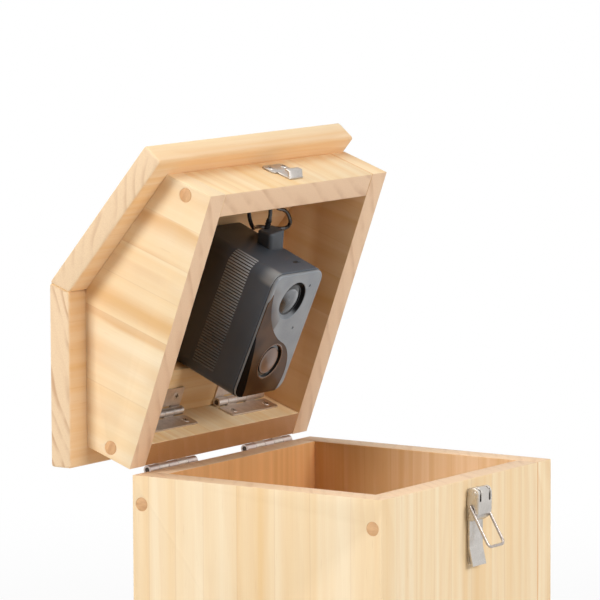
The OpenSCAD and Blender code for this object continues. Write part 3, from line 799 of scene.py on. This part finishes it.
def add_screws():
    """Two screws in every leaf, each turned by another angle."""
    leaf_face = PIN_OFF - LEAF_T
    box_screws, lid_screws, bracket_screws = bmesh.new(), bmesh.new(), bmesh.new()
    for i, y in enumerate((-HINGE_Y, HINGE_Y)):
        for j, s in enumerate((-1, 1)):
            at = y + s * SCREW_SPREAD
            low = (HINGE.x + leaf_face, at, HINGE.z - SCREW_REACH)
            screw_head(box_screws, facing(low, (-1, 0, 0)), 20 + 50 * i + 33 * j)
            high = (HINGE.x + leaf_face, at, HINGE.z - RIM_Z + SCREW_REACH)
            screw_head(lid_screws, facing(high, (-1, 0, 0)), 10 + 35 * i + 47 * j)
    pin_x, pin_z = PIN_OFF - INNER_X, SHELF_Z - PIN_OFF
    for i, y in enumerate(BRACKET_Y):
        for j, s in enumerate((-1, 1)):
            at = y + s * SCREW_SPREAD
            wall = (pin_x - leaf_face, at, pin_z - SCREW_REACH)
            screw_head(bracket_screws, facing(wall, (1, 0, 0)), 15 + 40 * i + 28 * j)
            shelf = (pin_x + SCREW_REACH, at, pin_z + leaf_face)
            screw_head(bracket_screws, facing(shelf, (0, 0, -1)), 30 + 25 * i + 55 * j)
    for bm, name, local, body, steel in (
        (box_screws, "box_hinge_screws", BOX, "box", hinge_steel),
        (lid_screws, "lid_hinge_screws", LID, "lid", hinge_steel_lid),
        (bracket_screws, "bracket_screws", LID, "lid", hinge_steel_lid),
    ):
        finish_piece(bm, name, local, body, [steel, recess_shade])


add_screws()

# ---- toggle latch and catch
latch_steel = plated_steel("latch_steel", BOX, srgb(205, 200, 194), 0.27, (1.0, 1.0, 0.05), 0.12)
catch_steel = plated_steel("catch_steel", LID, srgb(196, 190, 184), 0.3, (1.0, 0.05, 1.0), 0.15)
wire_steel = plated_steel("wire_steel", BOX, srgb(190, 180, 172), 0.22, (1.0, 1.0, 0.1), 0.12)

eased("latch_base", BOX, "box", latch_steel, 0.2, 1)
eased("latch_pin", BOX, "box", latch_steel, 0.3)
eased("latch_lever", BOX, "lever", latch_steel, 0.25)
eased("catch_plate", LID, "lid", catch_steel, 0.3)

WIRE_R = 0.9
BAIL_REACH = 27.0
BAIL_HANG = 30.0
BAIL_BEND = 3.0
BAIL_EYE = 1.0
BAIL_TIP = 2.7


def add_bail():
    """One bent wire: in at one flange, down, across and up, and in at the other."""
    low, high = box_mm("latch_bail")
    leg = (high.y - low.y) / 2 - WIRE_R
    inner = leg - BAIL_TIP
    bend_y, bend_z = leg - BAIL_BEND, BAIL_BEND - BAIL_REACH
    line = [(-inner, 0.0)]
    corners = (
        ((BAIL_EYE - leg, -BAIL_EYE), BAIL_EYE, 90, 180), ((-bend_y, bend_z), BAIL_BEND, 180, 270),
        ((bend_y, bend_z), BAIL_BEND, 270, 360), ((leg - BAIL_EYE, -BAIL_EYE), BAIL_EYE, 0, 90),
    )
    for centre, radius, start, end in corners:
        for k in range(7):
            angle = math.radians(start + (end - start) * k / 6)
            line.append((centre[0] + radius * math.cos(angle), centre[1] + radius * math.sin(angle)))
    line.append((inner, 0.0))
    hung = Matrix.Translation(BAIL_PIN) @ turn_y(-BAIL_HANG)
    bm = tube_along([hung @ Vector((0, y, z)) for y, z in line], WIRE_R, 14)
    finish_piece(bm, "bail_wire", BOX, "bail", wire_steel, ["latch_bail"], 60)


add_bail()

CATCH_SCREW_Y = 7.35
CATCH_SCREW_Z = 23.0
CATCH_SCREW_R = 2.4
CATCH_SCREW_RISE = 0.5


def add_catch_screws():
    bm = bmesh.new()
    for i, s in enumerate((-1, 1)):
        at = (HALF_W + LEAF_T, LATCH_PIN.y + s * CATCH_SCREW_Y, CATCH_SCREW_Z)
        screw_head(bm, facing(at, (1, 0, 0)), 25 + 40 * i, CATCH_SCREW_R, CATCH_SCREW_RISE)
    finish_piece(bm, "catch_screws", LID, "lid", [catch_steel, recess_shade])


add_catch_screws()

# ---- camera unit
CAM_W, CAM_D, CAM_H = 85.0, 53.0, 68.0
CAM_CORNER = 8.0
BACK_CUT = (11.5, 5.0)
FACE_T = 2.0
FACE_INSET = 0.6
FACE_ROUND = 1.2
SEAM = 0.4
SENSOR_AT = (22.8, 0.5)
RECESS_R = 13.0
RECESS_BOTTOM_R = 10.4
SENSOR_R = 9.8
SENSOR_H = 1.6
LENS_AT = (-19.0, -0.3)
LENS_R = 12.3
RIB_PITCH = 1.9
RIB_RISE = 0.38
RIB_Z = (20.0, 37.0)
RIB_FROM = -33.5
RIB_STRAIGHT = CAM_W / 2 - CAM_CORNER - RIB_FROM
FACE_PINS = ((32.1, 14.4), (2.9, 12.6))
FACE_PIN_R = 0.9
CORNER_ARC = 10
ROUND_SIDES = 56
LENS_SIDES = 64
SENSOR_SEAT = Matrix.Translation((*SENSOR_AT, 0))


def case_skin(name, colour, deep, rough, fade):
    """Fine-grained plastic with painted shade, darker towards the back and the low end, and a painted
    highlight, pale on the upper corner.
    """
    t = Surface(name)
    point = t.place(CAMERA)
    x, y, z = t.split(point)
    pebble = t.noise(point, 3.5, 3.0, 0.6)
    broad = t.noise(point, 0.06, 2.0)
    base = t.mix(t.remap(broad, 0.3, 0.7, 0.0, 0.4), colour, tuple(c * 1.25 for c in colour))
    # Painted shade: darker towards the back of the case and towards its low end
    base = t.mix(t.remap(z, 16.0, 50.0, smooth=True), base, deep)
    base = t.mix(t.remap(x, 38.0, -20.0, 0.0, fade, smooth=True), base, deep)
    # Painted highlight: a pale band on the upper front corner, near the face
    corner = t.mul(t.remap(t.sub(x, y), 59.5, 62.8, smooth=True), 0.7)
    corner = t.mul(corner, t.remap(z, 5.0, 15.0, 1.0, 0.0, smooth=True))
    base = t.mix(corner, base, srgb(164, 164, 162))
    t.into("Base Color", base)
    t.rough(pebble, rough - 0.05, rough + 0.08)
    t.relief(pebble, 0.00004, 0.6)
    return t.material


# The ribs' plastic is a far lighter copy of the case's, a painted highlight for rib tops that catch light
case_plastic = case_skin("camera_case", srgb(78, 86, 96), srgb(16, 16, 18), 0.36, 0.5)
rib_plastic_lit = case_skin("camera_ribs", srgb(176, 182, 188), srgb(56, 59, 63), 0.3, 0.85)
dark_plastic = moulded("camera_dark", CAMERA, srgb(18, 18, 20), 0.35)
lens_tint = glossy("lens_glass", CAMERA, srgb(96, 68, 50), srgb(130, 98, 78), 0.12, 0.2)
lens_black = glossy("lens_black", CAMERA, srgb(20, 16, 13), srgb(34, 26, 20), 0.15, 0.5)
lens_ring = glossy("lens_ring", CAMERA, srgb(88, 60, 38), srgb(112, 80, 54), 0.14, 0.2)


def window_material():
    """Smoked window, brown, with a black border swelling towards its low end."""
    t = Surface("camera_window")
    point = t.place(CAMERA)
    x, y = t.split(point)[:2]
    cloud = t.noise(point, 0.045, 1.0)
    brown = t.mix(t.remap(cloud, 0.35, 0.65, smooth=True), srgb(62, 40, 23), srgb(88, 61, 37))
    swell = t.math("POWER", t.remap(x, 1.0, -36.0), 0.7)
    border = t.add(t.mul(swell, 9.5), -CAM_D / 2 + FACE_INSET)
    black = t.remap(t.sub(border, y), 0.0, 0.5, smooth=True)
    t.into("Base Color", t.mix(black, brown, srgb(12, 10, 10)))
    t.rough(t.noise(point, 0.5, 3.0), 0.1, 0.16)
    t.into("Specular IOR Level", t.remap(black, 0.0, 1.0, 0.14, 0.02))
    return t.material


def round_hole(at, radii, low, high):
    """Plug between two heights, with its radius at each, to cut a round hole with."""
    bm = bmesh.new()
    profile = [(0, low), (radii[0], low), (radii[1], high), (0, high)]
    lathe(bm, profile, Matrix.Translation((*at, 0)), ROUND_SIDES)
    return bm


def add_case():
    front = FACE_T + SEAM
    levels = [(front, 1.4), (front, 0.6), *quarter(front, front + 0.45, 0.45, 0.0, 3)]
    levels += [*quarter(CAM_H - 3.0, CAM_H, 0.0, 3.0, 5), (CAM_H, 3.2)]
    bm = lofted_block(CAM_W, CAM_D, CAM_CORNER, levels, CORNER_ARC)
    low_side = Vector((-CAM_W / 2, 0, CAM_H - BACK_CUT[1]))
    slope = Vector((-BACK_CUT[1], 0, BACK_CUT[0])).normalized()
    made = bmesh.ops.bisect_plane(
        bm, geom=[*bm.verts, *bm.edges, *bm.faces], plane_co=low_side, plane_no=slope, clear_outer=True
    )
    rim = [item for item in made["geom_cut"] if isinstance(item, bmesh.types.BMEdge)]
    bmesh.ops.contextual_create(bm, geom=rim)
    finish_piece(bm, "case", CAMERA, "lid", case_plastic, ["camera_case"], 40)


def add_seam():
    """Black core between the face and the case, seen as a thin dark line all round: painted shade in the
    seam's gap.
    """
    levels = [(FACE_T - 0.05, 0.85), (FACE_T + SEAM + 0.05, 0.85)]
    bm = lofted_block(CAM_W, CAM_D, CAM_CORNER, levels, CORNER_ARC)
    piece = finish_piece(bm, "seam_shade_core", CAMERA, "lid", dark_plastic)
    radius = RECESS_BOTTOM_R + 0.8
    cut(piece, [round_hole(SENSOR_AT, (radius, radius), FACE_T - 1.0, FACE_T + 1.0)])


def around_case(reach, rise):
    """Point at a distance along the case's front side and round its upper corner."""
    low = -CAM_D / 2
    if reach <= RIB_STRAIGHT:
        return RIB_FROM + reach, low - rise
    angle = (reach - RIB_STRAIGHT) / CAM_CORNER
    radius = CAM_CORNER + rise
    return CAM_W / 2 - CAM_CORNER + radius * math.sin(angle), low + CAM_CORNER - radius * math.cos(angle)


def add_ribs():
    """Band of fine grip ribs round the case; the gaps between them take the black plastic as painted shade.
    """
    count = int((RIB_STRAIGHT + CAM_CORNER * math.pi / 2) / RIB_PITCH)
    outer, inner, materials = [], [], []
    for k in range(count):
        start = k * RIB_PITCH
        for share, rise in ((0.0, 0.04), (0.14, RIB_RISE), (0.5, RIB_RISE), (0.64, 0.04)):
            outer.append((start + share * RIB_PITCH, rise))
            # Rib tops take the lighter plastic, the gap floors the black one as painted shade
            materials.append(0 if share < 0.6 else 1)
        inner.append((start, -0.2))
    bm = bmesh.new()
    rings = []
    for z, share in ((RIB_Z[0], 0.1), (RIB_Z[0] + 0.7, 1), (RIB_Z[1] - 0.7, 1), (RIB_Z[1], 0.1)):
        flat = [around_case(reach, rise * share) for reach, rise in outer]
        flat += [around_case(reach, rise) for reach, rise in reversed(inner)]
        rings.append(ring_of(bm, [(x, y, z) for x, y in flat]))
    skin(bm, rings, materials + [1] * len(inner))
    finish_piece(bm, "case_ribs", CAMERA, "lid", [rib_plastic_lit, dark_plastic])


def face_skin():
    """Satin grey plastic, with painted shade on the upper side of the sensor's flared recess, dark there."""
    t = Surface("camera_face")
    point = t.place(CAMERA)
    x, y, z = t.split(point)
    satin = t.noise(point, 5.0, 2.0)
    broad = t.noise(point, 0.05, 1.0)
    base = t.mix(t.remap(broad, 0.3, 0.7, smooth=True), srgb(132, 137, 143), srgb(148, 152, 157))
    up, across = t.sub(x, SENSOR_AT[0]), t.sub(y, SENSOR_AT[1])
    aside = t.add(up, across)
    # Painted shade on the recess wall's upper side, which also takes away most of its reflection
    shade = t.mul(t.remap(z, 0.1, 0.4, smooth=True), t.remap(aside, -8.0, 3.0, 0.25, 1.0, smooth=True))
    away = t.length(t.combine(up, across, 0.0))
    shade = t.mul(shade, t.remap(away, RECESS_R, RECESS_R + 0.5, 1.0, 0.0))
    base = t.mix(shade, base, srgb(14, 14, 15))
    t.into("Specular IOR Level", t.remap(shade, 0.0, 1.0, 0.5, 0.04))
    t.into("Base Color", base)
    t.rough(satin, 0.26, 0.34)
    t.relief(satin, 0.00001, 0.5)
    return t.material


def add_face():
    levels = [
        (0.0, FACE_INSET + FACE_ROUND + 0.15),
        *quarter(0.0, FACE_ROUND, FACE_INSET + FACE_ROUND, FACE_INSET, 5), (FACE_T, FACE_INSET),
    ]
    bm = lofted_block(CAM_W, CAM_D, CAM_CORNER, levels, CORNER_ARC)
    face = finish_piece(bm, "face_plate", CAMERA, "lid", face_skin(), ["camera_face"])
    window = solid_of("camera_window", CAMERA)
    for vert in window.verts:
        vert.co.z -= 0.6 if vert.co.z < 0.3 else 0.0
    flare = (RECESS_R - RECESS_BOTTOM_R) / FACE_T
    recess = round_hole(SENSOR_AT, (RECESS_R + flare, RECESS_BOTTOM_R - flare), -1.0, FACE_T + 1.0)
    lens_hole = round_hole(LENS_AT, (LENS_R, LENS_R), -1.0, 1.8)
    pin_holes = [round_hole(at, (FACE_PIN_R, FACE_PIN_R), -1.0, 1.5) for at in FACE_PINS]
    cut(face, [window, recess, lens_hole, *pin_holes])
    pins = bmesh.new()
    for at in FACE_PINS:
        lathe(pins, [(0.88, 1.9), (0.88, 0.9), (0.5, 0.7), (0, 0.66)], Matrix.Translation((*at, 0)), 20)
    finish_piece(pins, "face_pins", CAMERA, "lid", dark_plastic)


def add_window():
    bm = solid_of("camera_window", CAMERA)
    finish_piece(bm, "window_pane", CAMERA, "lid", window_material(), ["camera_window"])


def add_lens():
    """Stepped rings about a shallow glass."""
    profile = [
        (LENS_R, 0.62), (LENS_R, -0.1), (LENS_R - 0.35, -0.3), (LENS_R - 0.8, -0.3), (LENS_R - 1.2, 0.0),
        (LENS_R - 1.3, 1.3), (LENS_R - 3.2, 1.3), (LENS_R - 3.3, 0.7), (LENS_R - 3.7, 0.55),
        (LENS_R - 4.1, 0.6), (6.4, 0.5), (4.4, 0.4), (2.2, 0.32), (0, 0.3),
    ]
    indices = [0, 0, 0, 0, 1, 1, 1, 0, 2, 2, 2, 2, 2]
    bm = bmesh.new()
    lathe(bm, profile, Matrix.Translation((*LENS_AT, 0)), LENS_SIDES, indices)
    glass = [lens_ring, lens_black, lens_tint]
    finish_piece(bm, "lens_rings", CAMERA, "lid", glass, ["camera_lens"], 25)


def dome_material():
    """Milky moulded lens with facets: a painted reflection darkens its low side, a painted highlight makes
    its high side pale, and painted shade darkens a band on its upper rim.
    """
    t = Surface("sensor_dome")
    point = t.place(CAMERA @ SENSOR_SEAT)
    x, y = t.split(point)[:2]
    cells = {"Vector": point, "Scale": 0.4}
    facet = t.node("ShaderNodeTexVoronoi", cells, feature="DISTANCE_TO_EDGE")
    cell = t.node("ShaderNodeTexVoronoi", cells)
    cloud = t.noise(point, 0.12, 1.0)
    # Painted reflection and highlight: dark towards the low side, pale towards the high one
    reach = t.add(t.mul(x, 0.75), t.mul(y, 0.65))
    reach = t.add(reach, t.mul(t.sub(cloud, 0.5), 10.0))
    base = t.mix(t.remap(reach, -6.0, 5.0, smooth=True), srgb(18, 19, 22), srgb(112, 116, 122))
    base = t.mix(t.remap(reach, 4.0, 9.0, 0.0, 0.85, smooth=True), base, srgb(204, 207, 211))
    tone = t.split(cell.outputs["Color"])[0]
    base = t.mix(t.mul(tone, 0.05), base, srgb(160, 163, 166))
    # Painted shade: a dark band along the dome's upper rim
    rim_shade_reach = t.length(t.combine(t.add(x, 0.9), t.add(y, 1.9), 0.0))
    base = t.mix(t.remap(rim_shade_reach, 8.3, 8.9, smooth=True), base, srgb(12, 12, 13))
    t.into("Base Color", base)
    t.rough(cloud, 0.2, 0.28)
    t.into("Coat Weight", 0.4)
    t.relief(facet.outputs["Distance"], 0.00006, 0.3)
    return t.material


def add_sensor():
    """Shallow dome seated on the case, deep in the face's recess."""
    seat = FACE_T + SEAM
    crown = seat - SENSOR_H - SEAM
    sphere = (SENSOR_R**2 + SENSOR_H**2) / (2 * SENSOR_H)
    steps = 10
    reach = math.asin(SENSOR_R / sphere)
    profile = [(SENSOR_R - 0.3, seat + 0.2), (SENSOR_R, seat), (SENSOR_R, crown + SENSOR_H)]
    for k in range(1, steps):
        angle = reach * (1 - k / steps)
        profile.append((sphere * math.sin(angle), crown + sphere - sphere * math.cos(angle)))
    profile.append((0, crown))
    bm = bmesh.new()
    lathe(bm, profile, SENSOR_SEAT, ROUND_SIDES)
    finish_piece(bm, "sensor_cover", CAMERA, "lid", dome_material(), ["motion_sensor"], 50)
    # Black seat ring seen in the narrow gap round the dome: painted shade
    base = bmesh.new()
    radius = RECESS_BOTTOM_R + 0.6
    ring = [(radius, seat - 0.02), (radius, FACE_T - 0.03), (SENSOR_R - 0.4, FACE_T - 0.03)]
    lathe(base, ring, SENSOR_SEAT, ROUND_SIDES)
    finish_piece(base, "sensor_seat", CAMERA, "lid", dark_plastic)


PLUG_AT = (CAM_W / 2, 12.4, 35.2)
PLUG_SIZE = (10.5, 14.5, 11.5)
PLUG_SINK = 5.0
PLUG_LEAN = 12.0
PLUG_TURN = 10.0
BOOT_FROM = (49.0, 12.1, 21.8)
BOOT_R = 1.9
BOOT_LENGTH = 7.6
plug_skin = moulded("plug_skin", CAMERA, srgb(52, 54, 58), 0.45, 4.5, 0.00008, srgb(66, 71, 78))


def add_plug():
    """Plug with rounded ends and a ribbed boot."""
    turn = Matrix.Rotation(math.radians(-PLUG_TURN), 4, "Z")
    seat = Matrix.Translation(PLUG_AT) @ turn @ turn_y(90 - PLUG_LEAN)
    length = PLUG_SIZE[0]
    levels = [(-PLUG_SINK, 0.0), *quarter(length - 1.3, length, 0.0, 1.3, 4), (length, 1.5)]
    bm = lofted_block(PLUG_SIZE[2], PLUG_SIZE[1], 2.5, levels, 6, seat)
    body = finish_piece(bm, "plug_body", CAMERA, "lid", plug_skin, ["lead_plug"], 40)
    boot = bmesh.new()
    profile = [(0, 0.0), (BOOT_R, 0.0)]
    for k in range(4):
        z = 0.9 + 1.7 * k
        profile += [(BOOT_R, z), (1.55, z + 0.25), (1.55, z + 0.75), (1.85 - 0.08 * k, z + 1.0)]
    profile += [(1.5, BOOT_LENGTH), (0, BOOT_LENGTH)]
    lathe(boot, profile, Matrix.Translation(BOOT_FROM) @ turn_y(90), 24)
    return [body, finish_piece(boot, "plug_boot", LID, "lid", dark_plastic)]


SWITCH_AT = (10.8, 12.5)
SLOT_SIZE = (2.2, 7.5, 1.05)  # width, length and corner radius
KNOB_SIZE = (1.3, 2.8, 0.4)
KNOB_SHIFT = 1.9


def add_switch():
    """Slot of a sliding switch in the case's upper side, with its low knob; the slot is a thin black pad of
    painted shade, not a recess.
    """
    seat = CAMERA @ Matrix.Translation((CAM_W / 2, *SWITCH_AT)) @ turn_y(90)
    # Painted shade: a flat black pad stands for the slot's depth
    slot = lofted_block(*SLOT_SIZE, [(-0.1, 0.0), (0.08, 0.0), (0.08, 0.3)], 6)
    finish_piece(slot, "switch_slot", seat, "lid", dark_plastic)
    shift = Matrix.Translation((0, KNOB_SHIFT, 0))
    knob = lofted_block(*KNOB_SIZE, [(0.0, 0.0), (0.35, 0.0), (0.45, 0.12)], 4, shift)
    finish_piece(knob, "switch_knob", seat, "lid", case_plastic)


GROMMET_AT = (64.0, 34.5)


def add_grommet():
    bm = bmesh.new()
    radius, flange, hole, t = 5.0, 7.0, LEAD_R + 0.05, 1.0
    profile = [
        (hole, INNER_Y - t), (flange - 0.5, INNER_Y - t), (flange, INNER_Y - t + 0.4), (flange, INNER_Y),
        (radius, INNER_Y), (radius, HALF_D), (flange, HALF_D), (flange, HALF_D + t - 0.4),
        (flange - 0.5, HALF_D + t), (0, HALF_D + t),
    ]
    turn = Matrix.Translation((GROMMET_AT[0], 0, GROMMET_AT[1])) @ Matrix.Rotation(math.radians(-90), 4, "X")
    lathe(bm, [(0, INNER_Y - t + 0.01), *profile], turn, 40)
    finish_piece(bm, "grommet", LID, "lid", dark_plastic, ["lead_grommet"])


add_case()
add_seam()
add_ribs()
add_face()
add_window()
add_lens()
add_sensor()
plug_pieces = add_plug()
add_switch()
add_grommet()
mount_materials = NODES["camera_mount"].data.materials
mount_materials.clear()
mount_materials.append(case_plastic)


# ---- floor, light, world
WHITE = (1.0, 1.0, 1.0)
FLOOR_HALF = 6.0  # in metres, as is everything below


def seen_rays(t):
    """1 for rays from the camera and for those mirrored or let through on their way."""
    path = t.node("ShaderNodeLightPath").outputs
    seen = t.math("MAXIMUM", path["Is Camera Ray"], path["Is Glossy Ray"])
    return t.math("MAXIMUM", seen, path["Is Transmission Ray"])


def add_floor():
    """Pale floor that keeps the object's shadow near it and turns into the white behind."""
    mesh = bpy.data.meshes.new("floor")
    corners = [(x * FLOOR_HALF, y * FLOOR_HALF, 0) for x, y in ((-1, -1), (1, -1), (1, 1), (-1, 1))]
    mesh.from_pydata(corners, [], [(0, 1, 2, 3)])
    t = Surface("floor")
    point = t.node("ShaderNodeTexCoord").outputs["Object"]
    cloud = t.noise(point, 1.5, 2.0)
    t.into("Base Color", t.mix(cloud, srgb(222, 222, 221), srgb(228, 228, 227)))
    t.into("Roughness", 0.9)
    t.into("Specular IOR Level", 0.1)
    white = t.node("ShaderNodeEmission", {"Color": WHITE, "Strength": 1.0})
    share = t.remap(t.length(point), 0.15, 1.4, 0.8, 1.0, smooth=True)
    share = t.mul(share, seen_rays(t))
    mixed = t.node("ShaderNodeMixShader", {"Fac": share, 1: t.shader.outputs[0], 2: white.outputs[0]})
    t.put(t.nodes["Material Output"].inputs["Surface"], mixed.outputs[0])
    mesh.materials.append(t.material)
    floor = into_scene("floor", mesh)


def add_lamp(name, azimuth, elevation, distance, size, power):
    """Soft box turned to the object's middle. Azimuth 0 is in front, 90 on the right."""
    around, up = math.radians(azimuth), math.radians(elevation)
    middle = Vector((-0.02, 0.0, 0.26))
    way = Vector((math.sin(around) * math.cos(up), -math.cos(around) * math.cos(up), math.sin(up)))
    data = bpy.data.lights.new(name, "AREA")
    data.shape = "SQUARE"
    data.size = size
    data.energy = power
    lamp = into_scene(name, data)
    lamp.location = middle + way * distance
    lamp.rotation_euler = way.to_track_quat("Z", "Y").to_euler()


def add_world(strength):
    """White for the rays that are seen, and a weaker white that lights the object."""
    world = bpy.data.worlds.new("studio")
    bpy.context.scene.world = world
    world.use_nodes = True
    world.node_tree.nodes.clear()
    t = Tree(world.node_tree)
    fill = t.node("ShaderNodeBackground", {"Color": WHITE, "Strength": strength})
    white = t.node("ShaderNodeBackground", {"Color": WHITE, "Strength": 1.0})
    mixed = t.node("ShaderNodeMixShader", {"Fac": seen_rays(t), 1: fill.outputs[0], 2: white.outputs[0]})
    t.node("ShaderNodeOutputWorld", {"Surface": mixed.outputs[0]})


add_floor()
add_lamp("key", -18, 25, 2.6, 0.9, 40)
add_lamp("right", 96, 22, 2.2, 1.0, 25)
add_lamp("top", 0, 88, 2.4, 1.6, 25)
add_world(0.16)

bpy.context.scene.view_settings.view_transform = "Standard"
